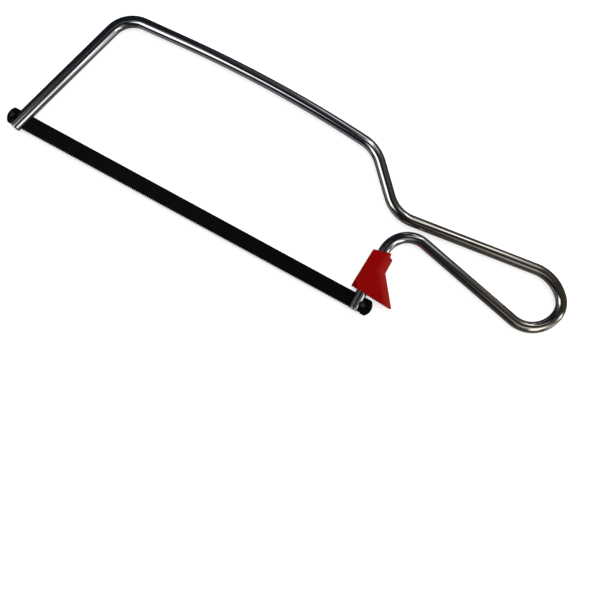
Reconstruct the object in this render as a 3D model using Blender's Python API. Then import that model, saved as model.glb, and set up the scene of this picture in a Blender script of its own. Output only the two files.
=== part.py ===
"""Mini hacksaw: a bent spring-steel rod, a pin-ended blade, its two cross pins and a finger guard.

The saw lies on its side, resting on the flat side of the guard. +X runs along the blade towards the
handle, +Y from the teeth towards the spine, and +Z out of the plane of the frame. Everything is first
placed from the centre of the front blade pin, in that plane. The whole saw then moves so that the
origin is under the middle of its box, on the surface that it lies on.

blender --background --python part.py
"""

import math
from typing import NamedTuple

import bmesh
import bpy
from mathutils import Matrix, Vector

MM = 0.001


class Corner(NamedTuple):
    """A corner of a path or outline, in millimetres, and the radius that it is rounded to."""

    x: float
    y: float
    radius: float


# Blade
PIN_SPACING = 150.0
BLADE_BACK = 3.0
BLADE_TIP = -3.35
BLADE_THICKNESS = 0.65
BLADE_NOSE = 1.95
BLADE_TAIL = 3.75
BLADE_END_RADIUS = 4.2
TEETH_PER_INCH = 32
INCH = 25.4
TOOTH_DEPTH = 0.45
TOOTH_FACE_SHARE = 0.12
TEETH_FROM = 1.9
TEETH_TO = 150.9

# Blade pins
PIN_DIAMETER = 2.2
PIN_LENGTH = 5.0
PIN_GAP = 0.1

# Rod, with its centreline from the front end to the rear end as corners and bend radii. The front leg
# is a little thicker, and tapers to the rest over the bend above it.
ROD_DIAMETER = 4.5
FRONT_LEG_DIAMETER = 5.0
TAPER_FROM = 50.0
TAPER_TO = 68.0
FRONT_END = Corner(2.5, -3.35, 0.0)
SPINE_FRONT = Corner(19.85, 53.25, 11.2)
SPINE_BOW = Corner(81.35, 57.85, 505.0)
SPINE_REAR = Corner(126.2, 54.4, 14.8)
HANDLE_ROOT = Corner(144.4, 35.85, 13.8)
LOOP_START = Corner(208.3, 44.1, 15.4)
LOOP_TOP = Corner(217.35, 35.1, 7.9)
LOOP_BOTTOM = Corner(212.95, 19.75, 11.6)
NECK = Corner(147.4, 34.05, 10.0)
REAR_END = Corner(147.4, -3.2, 0.0)
ROD_PATH = (
    FRONT_END,
    SPINE_FRONT,
    SPINE_BOW,
    SPINE_REAR,
    HANDLE_ROOT,
    LOOP_START,
    LOOP_TOP,
    LOOP_BOTTOM,
    NECK,
    REAR_END,
)

# Slots, pin groove and pin flat at the ends of the rod
SLOT_WIDTH = 1.0
SLOT_DEPTH = 8.0
FLAT_CLEARANCE = 0.15
FLAT_ABOVE_PIN = 1.6

# Finger guard: its outline, then the bore and the hollow inside
GUARD_THICKNESS = 8.0
GUARD_OUTLINE = (
    Corner(142.65, 4.4, 0.25),
    Corner(160.3, 3.45, 0.3),
    Corner(151.8, 14.35, 0.4),
    Corner(151.85, 19.95, 0.25),
    Corner(150.4, 20.65, 0.2),
    Corner(150.35, 22.05, 0.25),
    Corner(143.5, 20.4, 0.25),
)
GUARD_BORE_GAP = 0.15
HOLLOW_WIDTH = 4.0
HOLLOW_TOP = 7.6
HOLLOW_OUTLINE = (
    Corner(146.3, 2.0, 0.0),
    Corner(157.7, 2.0, 0.0),
    Corner(154.3, HOLLOW_TOP, 0.6),
    Corner(146.3, HOLLOW_TOP, 0.0),
)
BLADE_SLOT_WIDTH = 1.8
SCOOP_RADIUS = 2.0
SCOOP_DEPTH = 2.2

# Fineness of the curves
ROD_BEVEL_RESOLUTION = 8
BEND_STEP = math.radians(9)
OUTLINE_STEP = math.radians(15)
LEAST_ARC_STEPS = 5
CUTTER_SIDES = 32
PIN_SIDES = 24
OVERCUT = 2.0

CHROME = ("chrome_plated_steel", (0.62, 0.62, 0.64), 0.12, 1.0)
BLUED_STEEL = ("blackened_steel", (0.012, 0.013, 0.012), 0.42, 0.6)
PIN_STEEL = ("dull_steel", (0.16, 0.11, 0.08), 0.45, 0.9)
RED_PLASTIC = ("red_plastic", (0.29, 0.004, 0.004), 0.38, 0.0)


def clear_scene():
    for old in list(bpy.data.objects):
        bpy.data.objects.remove(old, do_unlink=True)


def make_collection(name):
    collection = bpy.data.collections.new(name)
    bpy.context.scene.collection.children.link(collection)
    return collection


def make_material(finish):
    name, colour, roughness, metallic = finish
    material = bpy.data.materials.new(name)
    material.use_nodes = True
    shader = material.node_tree.nodes["Principled BSDF"]
    shader.inputs["Base Color"].default_value = (*colour, 1.0)
    shader.inputs["Roughness"].default_value = roughness
    shader.inputs["Metallic"].default_value = metallic
    return material


def rounded_corner(before, corner, after, step):
    """Points, in metres, that turn the corner on an arc of its radius."""
    point = Vector((corner.x, corner.y)) * MM
    if corner.radius == 0:
        return [point]
    into = (point - Vector((before.x, before.y)) * MM).normalized()
    out = (Vector((after.x, after.y)) * MM - point).normalized()
    turn = into.angle_signed(out)
    radius = corner.radius * MM
    tangent = radius * math.tan(abs(turn) / 2)
    side = -math.copysign(1.0, turn)
    inward = Vector((-into.y, into.x)) * side
    start = point - into * tangent
    centre = start + inward * radius
    steps = max(LEAST_ARC_STEPS, math.ceil(abs(turn) / step))
    arc = []
    for index in range(steps + 1):
        swing = side * abs(turn) * index / steps
        arc.append(centre + Matrix.Rotation(swing, 2) @ (start - centre))
    return arc


def rounded_path(corners, step, closed=False):
    """The path or outline as points in metres, with an arc at each corner that has a radius."""
    points = []
    for index, corner in enumerate(corners):
        before = corners[index - 1]
        after = corners[(index + 1) % len(corners)]
        at_end = not closed and index in (0, len(corners) - 1)
        if at_end:
            points.append(Vector((corner.x, corner.y)) * MM)
        else:
            points.extend(rounded_corner(before, corner, after, step))
    return points


def circle_points(x, y, diameter, sides):
    """Points of a circle, in metres, about a centre in millimetres."""
    points = []
    for index in range(sides):
        angle = 2 * math.pi * index / sides
        out = Vector((math.cos(angle), math.sin(angle))) * diameter / 2
        points.append((Vector((x, y)) + out) * MM)
    return points


def poly_curve(name, paths, closed):
    """A curve with one spline for each of these lists of points."""
    curve = bpy.data.curves.new(name, "CURVE")
    for points in paths:
        spline = curve.splines.new("POLY")
        spline.points.add(len(points) - 1)
        for spline_point, place in zip(spline.points, points):
            spline_point.co = (place.x, place.y, 0.0, 1.0)
        spline.use_cyclic_u = closed
    return curve


def mesh_from_curve(name, curve, collection):
    """The curve's solid as a mesh object, with its loose caps welded on."""
    guide = bpy.data.objects.new(name + "_guide", curve)
    collection.objects.link(guide)
    graph = bpy.context.evaluated_depsgraph_get()
    mesh = bpy.data.meshes.new_from_object(guide.evaluated_get(graph))
    bpy.data.objects.remove(guide, do_unlink=True)
    work = bmesh.new()
    work.from_mesh(mesh)
    bmesh.ops.remove_doubles(work, verts=work.verts, dist=0.001 * MM)
    bmesh.ops.recalc_face_normals(work, faces=work.faces)
    work.to_mesh(mesh)
    work.free()
    solid = bpy.data.objects.new(name, mesh)
    collection.objects.link(solid)
    return solid


def flat_solid(name, outlines, thickness, collection):
    """A plate of the first outline, with the others as holes, and its middle in the plane of the frame."""
    curve = poly_curve(name, outlines, closed=True)
    curve.dimensions = "2D"
    curve.fill_mode = "BOTH"
    curve.extrude = thickness * MM / 2
    return mesh_from_curve(name, curve, collection)


def cylinder(name, diameter, length, sides, collection):
    """A cylinder along Z, with its middle at its own origin."""
    work = bmesh.new()
    bmesh.ops.create_cone(
        work,
        cap_ends=True,
        segments=sides,
        radius1=diameter * MM / 2,
        radius2=diameter * MM / 2,
        depth=length * MM,
    )
    mesh = bpy.data.meshes.new(name)
    work.to_mesh(mesh)
    work.free()
    solid = bpy.data.objects.new(name, mesh)
    collection.objects.link(solid)
    return solid


def box(name, size, collection):
    """A box of this size in millimetres, with its middle at its own origin."""
    work = bmesh.new()
    bmesh.ops.create_cube(work, size=1.0)
    bmesh.ops.scale(work, vec=Vector(size) * MM, verts=work.verts)
    mesh = bpy.data.meshes.new(name)
    work.to_mesh(mesh)
    work.free()
    solid = bpy.data.objects.new(name, mesh)
    collection.objects.link(solid)
    return solid


def place(solid, x, y, z=0.0, turn=0.0):
    """Puts a piece at this point, in millimetres from the front pin, turned about Z."""
    solid.location = Vector((x, y, z)) * MM
    solid.rotation_euler = (0.0, 0.0, turn)


def cut(solid, cutter):
    cutter.hide_render = True
    cutter.display_type = "WIRE"
    boolean = solid.modifiers.new(cutter.name, "BOOLEAN")
    boolean.operation = "DIFFERENCE"
    boolean.solver = "EXACT"
    boolean.object = cutter


def finish(solid, material, sharp_over=30.0):
    solid.data.materials.clear()
    solid.data.materials.append(material)
    solid.data.shade_smooth()
    solid.data.set_sharp_from_angle(angle=math.radians(sharp_over))


def cut_slot(rod, name, end, towards, cutters):
    """Saws the slot for the blade into one end of the rod, along that end's leg."""
    leg = Vector((towards.x - end.x, towards.y - end.y)).normalized()
    length = SLOT_DEPTH + OVERCUT
    slot = box(name, (length, FRONT_LEG_DIAMETER + OVERCUT, SLOT_WIDTH), cutters)
    middle = Vector((end.x, end.y)) + leg * (SLOT_DEPTH - length / 2)
    place(slot, middle.x, middle.y, turn=math.atan2(leg.y, leg.x))
    cut(rod, slot)


def taper_front_leg(points):
    """Thickens the curve's points along the front leg."""
    along = 0.0
    for index, point in enumerate(points):
        if index:
            along += (point.co.xyz - points[index - 1].co.xyz).length / MM
        left = min(max((TAPER_TO - along) / (TAPER_TO - TAPER_FROM), 0.0), 1.0)
        point.radius = 1 + left * (FRONT_LEG_DIAMETER / ROD_DIAMETER - 1)


def build_frame_rod(parts, cutters):
    """The one-piece frame: the rod along its path, with a slot and a pin seat at each end."""
    curve = poly_curve("frame_rod", [rounded_path(ROD_PATH, BEND_STEP)], closed=False)
    taper_front_leg(curve.splines[0].points)
    curve.dimensions = "3D"
    curve.twist_mode = "Z_UP"
    curve.bevel_depth = ROD_DIAMETER * MM / 2
    curve.bevel_resolution = ROD_BEVEL_RESOLUTION
    curve.use_fill_caps = True
    rod = mesh_from_curve("frame_rod", curve, parts)
    cut_slot(rod, "front_slot", FRONT_END, SPINE_FRONT, cutters)
    cut_slot(rod, "rear_slot", REAR_END, NECK, cutters)
    seat_diameter = PIN_DIAMETER + 2 * FLAT_CLEARANCE
    groove_length = FRONT_LEG_DIAMETER + OVERCUT
    groove = cylinder("front_pin_groove", seat_diameter, groove_length, CUTTER_SIDES, cutters)
    cut(rod, groove)
    flat_x = PIN_SPACING - PIN_DIAMETER / 2 - FLAT_CLEARANCE
    flat_bottom = REAR_END.y - OVERCUT
    flat_size = (OVERCUT, FLAT_ABOVE_PIN - flat_bottom, ROD_DIAMETER + OVERCUT)
    flat = box("rear_pin_flat", flat_size, cutters)
    place(flat, flat_x + OVERCUT / 2, (FLAT_ABOVE_PIN + flat_bottom) / 2)
    cut(rod, flat)
    return rod


def end_arc(x, towards_tail):
    """Points of the rounded end of the blade, from its back to its toothed edge at the tail."""
    middle = (BLADE_BACK + BLADE_TIP) / 2
    half_angle = math.asin((BLADE_BACK - middle) / BLADE_END_RADIUS)
    steps = 2 * math.ceil(half_angle / OUTLINE_STEP)
    way = 1.0 if towards_tail else -1.0
    points = []
    for index in range(steps + 1):
        angle = half_angle * (1 - 2 * index / steps)
        out = BLADE_END_RADIUS * (math.cos(angle) - 1)
        up = BLADE_END_RADIUS * math.sin(angle)
        points.append(Vector((x + way * out, middle + way * up)) * MM)
    return points


def tooth_points():
    """Tips and gullets from the tail to the nose. The upright faces look away from the handle."""
    pitch = INCH / TEETH_PER_INCH
    gullet = BLADE_TIP + TOOTH_DEPTH
    count = int((TEETH_TO - TEETH_FROM) / pitch)
    points = []
    for index in range(count, 0, -1):
        face = TEETH_FROM + index * pitch
        points.append(Vector((face, BLADE_TIP)) * MM)
        points.append(Vector((face - TOOTH_FACE_SHARE * pitch, gullet)) * MM)
    points.append(Vector((TEETH_FROM, BLADE_TIP)) * MM)
    return points


def build_saw_blade(parts):
    """The blade, whose own origin is on the front pin that it swings about."""
    tail = end_arc(PIN_SPACING + BLADE_TAIL, towards_tail=True)
    nose = end_arc(-BLADE_NOSE, towards_tail=False)
    hole_diameter = PIN_DIAMETER + 2 * PIN_GAP
    holes = [circle_points(x, 0.0, hole_diameter, PIN_SIDES) for x in (0.0, PIN_SPACING)]
    return flat_solid("saw_blade", [tail + tooth_points() + nose, *holes], BLADE_THICKNESS, parts)


def build_blade_pin(name, x, parts):
    pin = cylinder(name, PIN_DIAMETER, PIN_LENGTH, PIN_SIDES, parts)
    place(pin, x, 0.0)
    return pin


def build_finger_guard(parts, cutters):
    """The moulded guard, bored for the rod and hollow below.

    It can slide down over the blade's end until its side walls meet the rear pin.
    """
    leg_x = REAR_END.x
    outline = rounded_path(GUARD_OUTLINE, OUTLINE_STEP, closed=True)
    guard = flat_solid("finger_guard", [outline], GUARD_THICKNESS, parts)

    bore_diameter = ROD_DIAMETER + 2 * GUARD_BORE_GAP
    top = max(corner.y for corner in GUARD_OUTLINE)
    bore = cylinder("guard_bore", bore_diameter, 2 * top, CUTTER_SIDES, cutters)
    place(bore, leg_x, top / 2)
    bore.rotation_euler = (math.pi / 2, 0.0, 0.0)
    cut(guard, bore)

    hollow_outline = rounded_path(HOLLOW_OUTLINE, OUTLINE_STEP, closed=True)
    cut(guard, flat_solid("guard_hollow", [hollow_outline], HOLLOW_WIDTH, cutters))

    slot_length = leg_x - GUARD_OUTLINE[0].x + OVERCUT
    slot = box("guard_blade_slot", (slot_length, HOLLOW_TOP, BLADE_SLOT_WIDTH), cutters)
    place(slot, leg_x - slot_length / 2, HOLLOW_TOP / 2)
    cut(guard, slot)

    scoop_corner = GUARD_OUTLINE[0]
    for name, side in (("upper_scoop", 1), ("lower_scoop", -1)):
        scoop = cylinder(name, 2 * SCOOP_RADIUS, 2 * SCOOP_DEPTH, CUTTER_SIDES, cutters)
        place(scoop, scoop_corner.x, scoop_corner.y, side * GUARD_THICKNESS / 2)
        cut(guard, scoop)
    return guard


def box_of(solids):
    """The lowest and highest corners of these pieces, as evaluated."""
    bpy.context.view_layer.update()
    graph = bpy.context.evaluated_depsgraph_get()
    places = []
    for solid in solids:
        evaluated = solid.evaluated_get(graph)
        places.extend(evaluated.matrix_world @ vertex.co for vertex in evaluated.data.vertices)
    lowest = Vector(min(place[axis] for place in places) for axis in range(3))
    highest = Vector(max(place[axis] for place in places) for axis in range(3))
    return lowest, highest


def stand_on_origin(parts, cutters, solids):
    """Moves the saw under one empty, so that the origin is below the middle of its box."""
    lowest, highest = box_of(solids)
    saw = bpy.data.objects.new("mini_hacksaw_origin", None)
    parts.objects.link(saw)
    for piece in list(parts.objects) + list(cutters.objects):
        if piece is not saw:
            piece.parent = saw
    middle = (lowest + highest) / 2
    saw.location = (-middle.x, -middle.y, -lowest.z)
    print("front pin at", [round(value, 6) for value in saw.location])


def main():
    clear_scene()
    parts = make_collection("mini_hacksaw")
    cutters = make_collection("cutters")
    chrome = make_material(CHROME)
    blued = make_material(BLUED_STEEL)
    dull = make_material(PIN_STEEL)
    red = make_material(RED_PLASTIC)

    rod = build_frame_rod(parts, cutters)
    blade = build_saw_blade(parts)
    front_pin = build_blade_pin("front_blade_pin", 0.0, parts)
    rear_pin = build_blade_pin("rear_blade_pin", PIN_SPACING, parts)
    guard = build_finger_guard(parts, cutters)
    for solid, material in ((rod, chrome), (blade, blued), (front_pin, dull), (rear_pin, dull), (guard, red)):
        finish(solid, material)
    stand_on_origin(parts, cutters, (rod, blade, front_pin, rear_pin, guard))


main()
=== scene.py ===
"""Dressed mini hacksaw: a bent plated rod, a pin-ended blade, its two pins and a moulded finger guard.

Sizes are in millimetres from the centre of the front blade pin, in the plane of the frame: X runs along
the blade to the handle, Y from the teeth to the spine and Z out of that plane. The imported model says
where that pin is, and every piece is built in place around it.
"""

import logging
import math
from dataclasses import dataclass, field
from enum import Enum
from typing import Any, NamedTuple

import bmesh
import bpy
from mathutils import Matrix, Vector


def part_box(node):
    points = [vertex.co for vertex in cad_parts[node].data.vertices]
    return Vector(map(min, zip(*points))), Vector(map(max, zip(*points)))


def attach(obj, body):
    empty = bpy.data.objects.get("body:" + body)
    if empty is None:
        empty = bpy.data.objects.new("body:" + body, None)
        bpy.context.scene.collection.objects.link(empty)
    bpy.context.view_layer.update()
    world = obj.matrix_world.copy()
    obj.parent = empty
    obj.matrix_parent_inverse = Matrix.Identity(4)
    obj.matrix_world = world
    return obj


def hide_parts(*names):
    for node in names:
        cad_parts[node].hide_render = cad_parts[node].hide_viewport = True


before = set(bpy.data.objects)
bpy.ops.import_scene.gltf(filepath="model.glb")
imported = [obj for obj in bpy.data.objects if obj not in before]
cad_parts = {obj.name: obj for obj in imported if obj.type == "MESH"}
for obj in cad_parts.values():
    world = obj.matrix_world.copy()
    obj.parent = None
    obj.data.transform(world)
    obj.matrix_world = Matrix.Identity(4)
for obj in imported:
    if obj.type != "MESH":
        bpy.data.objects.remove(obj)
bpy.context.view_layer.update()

LOG = logging.getLogger("mini_hacksaw")
MM = 0.001
INCH = 25.4
WELD = 0.002 * MM
CUTTER_SIDES = 64
# The wave texture turns through this many radians for each unit of its scaled coordinate.
WAVE_TURN = 20.0
# The places of a colour Mix node's sockets, whose names its sockets for other values have too.
SHARE = 0
FIRST = 6
SECOND = 7
MIXED = 2
# Sizes that more than one piece follows: the pins of a 150 mm blade, and the line of the rear leg.
PIN_SPACING = 150.0
PIN_DIAMETER = 2.2
REAR_LEG = 147.4


class Body(Enum):
    """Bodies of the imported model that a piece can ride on."""

    FRAME = "frame"
    BLADE = "blade"
    GUARD = "guard"


class Slot(Enum):
    """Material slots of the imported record."""

    ROD = "rod_plating"
    BLADE = "blade_steel"
    PIN = "pin_steel"
    GUARD = "guard_plastic"


class Corner(NamedTuple):
    """A corner of a path or outline and the radius that rounds it."""

    x: float
    y: float
    radius: float


def front_pin() -> Vector:
    """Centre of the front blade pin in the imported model, in metres."""
    lowest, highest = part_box("front_blade_pin")
    return (Vector(lowest) + Vector(highest)) / 2


ORIGIN = front_pin()


def at(x: float, y: float, z: float = 0.0) -> Vector:
    """The point of the scene, in metres, for millimetres from the front pin."""
    return ORIGIN + Vector((x, y, z)) * MM


def srgb(code: str) -> tuple[float, float, float, float]:
    """Turns an sRGB hex value into a linear colour.

    Args:
        code: The colour as "#RRGGBB".

    Returns:
        Linear red, green, blue and an alpha of one.
    """
    linear = []
    for start in (1, 3, 5):
        value = int(code[start : start + 2], 16) / 255
        # The curve of the sRGB standard.
        linear.append(value / 12.92 if value <= 0.04045 else ((value + 0.055) / 1.055) ** 2.4)
    return (*linear, 1.0)


def add_node(
    tree: bpy.types.NodeTree,
    kind: str,
    settings: dict[str, Any] | None = None,
    inputs: dict[str | int, Any] | None = None,
) -> bpy.types.Node:
    """Adds one node with its settings and links.

    Args:
        tree: The shader or geometry tree.
        kind: The node's type name.
        settings: Values for the node's own properties.
        inputs: A value, or the output socket to link, for each input by name or place.

    Returns:
        The new node.
    """
    node = tree.nodes.new(kind)
    for name, value in (settings or {}).items():
        setattr(node, name, value)
    for key, value in (inputs or {}).items():
        socket = node.inputs[key]
        if isinstance(value, bpy.types.NodeSocket):
            tree.links.new(value, socket)
        else:
            socket.default_value = value
    return node


def new_material(name: str) -> tuple[bpy.types.Material, bpy.types.NodeTree, bpy.types.Node]:
    """Makes an empty node material.

    Args:
        name: The material's name.

    Returns:
        The material, its tree and its Principled shader.
    """
    material = bpy.data.materials.new(name)
    material.use_nodes = True
    return material, material.node_tree, material.node_tree.nodes["Principled BSDF"]


def geometry_tree(name: str, sizes: dict[str, str]) -> tuple[bpy.types.NodeTree, bpy.types.Node]:
    """Makes a geometry tree with named inputs.

    Args:
        name: The tree's name.
        sizes: The socket type of each input after the geometry, by its name.

    Returns:
        The tree and its Group Input node.
    """
    tree = bpy.data.node_groups.new(name, "GeometryNodeTree")
    tree.interface.new_socket("Geometry", in_out="INPUT", socket_type="NodeSocketGeometry")
    for label, kind in sizes.items():
        tree.interface.new_socket(label, in_out="INPUT", socket_type=kind)
    tree.interface.new_socket("Geometry", in_out="OUTPUT", socket_type="NodeSocketGeometry")
    return tree, tree.nodes.new("NodeGroupInput")


def link_object(name: str, mesh: bpy.types.Mesh) -> bpy.types.Object:
    """Puts a mesh in the scene as an object at the origin."""
    made = bpy.data.objects.new(name, mesh)
    bpy.context.scene.collection.objects.link(made)
    return made


def mesh_object(name: str, work: bmesh.types.BMesh) -> bpy.types.Object:
    """Ends a bmesh as an object with welded points and outward faces.

    Args:
        name: The object's name.
        work: The bmesh, which is freed.

    Returns:
        The new object.
    """
    bmesh.ops.remove_doubles(work, verts=work.verts, dist=WELD)
    bmesh.ops.recalc_face_normals(work, faces=work.faces)
    mesh = bpy.data.meshes.new(name)
    work.to_mesh(mesh)
    work.free()
    return link_object(name, mesh)


def settle(piece: bpy.types.Object) -> None:
    """Turns the piece's modifiers into a plain mesh."""
    graph = bpy.context.evaluated_depsgraph_get()
    mesh = bpy.data.meshes.new_from_object(
        piece.evaluated_get(graph), preserve_all_data_layers=True, depsgraph=graph
    )
    piece.modifiers.clear()
    piece.data = mesh


def grow(piece: bpy.types.Object, tree: bpy.types.NodeTree, values: dict[str, Any]) -> None:
    """Runs a geometry tree on a piece and keeps the result as its mesh.

    Args:
        piece: The object whose mesh the tree starts from.
        tree: The geometry tree.
        values: A value for each of the tree's named inputs.
    """
    modifier = piece.modifiers.new(tree.name, "NODES")
    modifier.node_group = tree
    for item in tree.interface.items_tree:
        if item.in_out == "INPUT" and item.name in values:
            modifier[item.identifier] = values[item.name]
    settle(piece)
    # The empty slot that the start mesh brings along would leave later faces with no finish.
    piece.data.materials.clear()
    piece.data.materials.append(values["Finish"])
    piece.data.polygons.foreach_set("material_index", [0] * len(piece.data.polygons))


def carve(piece: bpy.types.Object, cutters: list[bpy.types.Object], finish: bpy.types.Material) -> None:
    """Cuts these solids from a piece and removes them.

    Args:
        piece: The object that is cut.
        cutters: Closed solids.
        finish: The material of the cut faces.
    """
    for cutter in cutters:
        cutter.data.materials.append(finish)
        boolean = piece.modifiers.new(cutter.name, "BOOLEAN")
        boolean.operation = "DIFFERENCE"
        boolean.solver = "EXACT"
        boolean.material_mode = "TRANSFER"
        boolean.object = cutter
    settle(piece)
    for cutter in cutters:
        bpy.data.objects.remove(cutter, do_unlink=True)


def shade(piece: bpy.types.Object, sharp_over: float) -> None:
    """Shades a piece smooth, with a sharp edge where it turns by more than this many degrees."""
    piece.data.shade_smooth()
    piece.data.set_sharp_from_angle(angle=math.radians(sharp_over))


def skin(work: bmesh.types.BMesh, rings: list[list[Vector]], closed: bool = True) -> list[list[Any]]:
    """Joins rings of points with faces.

    Args:
        work: The bmesh to add to.
        rings: Rings with the same number of points.
        closed: Whether each ring's last point joins its first.

    Returns:
        The new vertices, ring by ring.
    """
    made = [[work.verts.new(point) for point in ring] for ring in rings]
    for lower, upper in zip(made, made[1:]):
        count = len(lower)
        for index in range(count if closed else count - 1):
            after = (index + 1) % count
            work.faces.new((lower[index], lower[after], upper[after], upper[index]))
    return made


def ringed_solid(name: str, rings: list[list[Vector]]) -> bpy.types.Object:
    """Makes a solid from closed rings of points, with a flat face over the first and the last.

    Args:
        name: The object's name.
        rings: Rings with the same number of points.

    Returns:
        The solid.
    """
    work = bmesh.new()
    made = skin(work, rings)
    work.faces.new(made[0])
    work.faces.new(made[-1])
    return mesh_object(name, work)


def box_cutter(name: str, middle: Vector, size: Vector, turn: float = 0.0) -> bpy.types.Object:
    """Makes a box for carving.

    Args:
        name: The object's name.
        middle: Its middle in metres.
        size: Its sides in millimetres.
        turn: How far it is turned about Z, in radians.

    Returns:
        The box, with its place in its mesh.
    """
    work = bmesh.new()
    bmesh.ops.create_cube(work, size=1.0)
    sized = Matrix.Rotation(turn, 4, "Z") @ Matrix.Diagonal((*(size * MM), 1.0))
    work.transform(Matrix.Translation(middle) @ sized)
    return mesh_object(name, work)


def round_cutter(name: str, middle: Vector, diameter: float, length: float, along: str) -> bpy.types.Object:
    """Makes a cylinder for carving.

    Args:
        name: The object's name.
        middle: Its middle in metres.
        diameter: Its diameter in millimetres.
        length: Its length in millimetres.
        along: The axis that it runs along, "Y" or "Z".

    Returns:
        The cylinder, with its place in its mesh.
    """
    work = bmesh.new()
    radius = diameter * MM / 2
    bmesh.ops.create_cone(
        work, cap_ends=True, segments=CUTTER_SIDES, radius1=radius, radius2=radius, depth=length * MM
    )
    turn = Matrix.Rotation(math.pi / 2 if along == "Y" else 0.0, 4, "X")
    work.transform(Matrix.Translation(middle) @ turn)
    return mesh_object(name, work)


@dataclass(frozen=True)
class PlatedRodFinish:
    """Drawn spring steel, bright-plated: a mirror with fine draw lines along it, dulled by handling."""

    plating: str = "#C8C9CB"
    tarnish: str = "#988D84"
    handled: str = "#CAC5BB"
    handled_middle: float = 248.0
    handled_length: float = 124.0
    handled_fade: float = 30.0
    roughness: float = 0.035
    dulled: float = 0.075
    line_dulling: float = 0.02
    # Real draw lines are a few hundredths of a millimetre wide. These are coarser, so that they show.
    line_width: float = 0.3
    line_length: float = 40.0
    line_depth: float = 0.003
    smudge: float = 7.0
    worn_from: float = 0.42
    worn_to: float = 0.75
    tarnish_share: float = 0.45

    def make(self) -> bpy.types.Material:
        """Builds the material, patterned in the coordinates of the rod before it was bent."""
        material, tree, shader = new_material("bright_plated_drawn_steel")
        rod = add_node(tree, "ShaderNodeAttribute", {"attribute_name": "straight_rod"}).outputs["Vector"]
        across = 1 / (self.line_width * MM)
        stretched = add_node(
            tree,
            "ShaderNodeMapping",
            inputs={"Vector": rod, "Scale": (across, across, 1 / (self.line_length * MM))},
        )
        lines = add_node(
            tree,
            "ShaderNodeTexNoise",
            inputs={"Vector": stretched.outputs["Vector"], "Scale": 1.0, "Detail": 3.0},
        )
        smudges = add_node(
            tree,
            "ShaderNodeTexNoise",
            inputs={"Vector": rod, "Scale": 1 / (self.smudge * MM), "Detail": 4.0, "Roughness": 0.6},
        )
        worn = add_node(
            tree,
            "ShaderNodeMapRange",
            {"interpolation_type": "SMOOTHSTEP"},
            {"Value": smudges.outputs["Fac"], "From Min": self.worn_from, "From Max": self.worn_to},
        )
        along = add_node(tree, "ShaderNodeSeparateXYZ", inputs={"Vector": rod}).outputs["Z"]
        from_middle = add_node(
            tree, "ShaderNodeMath", {"operation": "SUBTRACT"}, {0: along, 1: self.handled_middle * MM}
        )
        aside = add_node(tree, "ShaderNodeMath", {"operation": "ABSOLUTE"}, {0: from_middle.outputs[0]})
        held = add_node(
            tree,
            "ShaderNodeMapRange",
            {"interpolation_type": "SMOOTHSTEP"},
            {
                "Value": aside.outputs[0],
                "From Min": (self.handled_length - self.handled_fade) / 2 * MM,
                "From Max": (self.handled_length + self.handled_fade) / 2 * MM,
                "To Min": 1.0,
                "To Max": 0.0,
            },
        )
        plated = add_node(
            tree,
            "ShaderNodeMix",
            {"data_type": "RGBA"},
            {SHARE: held.outputs["Result"], FIRST: srgb(self.plating), SECOND: srgb(self.handled)},
        )
        tint = add_node(
            tree,
            "ShaderNodeMath",
            {"operation": "MULTIPLY"},
            {0: worn.outputs["Result"], 1: self.tarnish_share},
        )
        colour = add_node(
            tree,
            "ShaderNodeMix",
            {"data_type": "RGBA"},
            {SHARE: tint.outputs[0], FIRST: plated.outputs[MIXED], SECOND: srgb(self.tarnish)},
        )
        dull = add_node(
            tree,
            "ShaderNodeMapRange",
            inputs={"Value": worn.outputs["Result"], "To Min": self.roughness, "To Max": self.dulled},
        )
        streaked = add_node(
            tree,
            "ShaderNodeMath",
            {"operation": "MULTIPLY_ADD"},
            {0: lines.outputs["Fac"], 1: self.line_dulling, 2: dull.outputs["Result"]},
        )
        relief = add_node(
            tree,
            "ShaderNodeBump",
            inputs={"Height": lines.outputs["Fac"], "Strength": 1.0, "Distance": self.line_depth * MM},
        )
        tree.links.new(colour.outputs[MIXED], shader.inputs["Base Color"])
        tree.links.new(streaked.outputs[0], shader.inputs["Roughness"])
        tree.links.new(relief.outputs["Normal"], shader.inputs["Normal"])
        shader.inputs["Metallic"].default_value = 1.0
        return material


@dataclass(frozen=True)
class SawnSteelFinish:
    """Steel inside a sawn slot, plated thinly: duller than the rod, with the marks of the saw across it."""

    colour: str = "#6E6C69"
    roughness: float = 0.38
    # Real saw marks are closer together. These are coarser, so that they show.
    mark: float = 0.4935
    mark_depth: float = 0.02
    mark_strength: float = 0.5

    def make(self) -> bpy.types.Material:
        """Builds the material, with saw marks along Y."""
        material, tree, shader = new_material("sawn_plated_steel")
        place = add_node(tree, "ShaderNodeTexCoord").outputs["Object"]
        marks = add_node(
            tree,
            "ShaderNodeTexWave",
            {"bands_direction": "Y"},
            {
                "Vector": place,
                "Scale": 2 * math.pi / (WAVE_TURN * self.mark * MM),
                "Distortion": 3.0,
                "Detail": 2.0,
            },
        )
        relief = add_node(
            tree,
            "ShaderNodeBump",
            inputs={
                "Height": marks.outputs["Fac"],
                "Strength": self.mark_strength,
                "Distance": self.mark_depth * MM,
            },
        )
        tree.links.new(relief.outputs["Normal"], shader.inputs["Normal"])
        shader.inputs["Base Color"].default_value = srgb(self.colour)
        shader.inputs["Metallic"].default_value = 1.0
        shader.inputs["Roughness"].default_value = self.roughness
        return material


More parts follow.
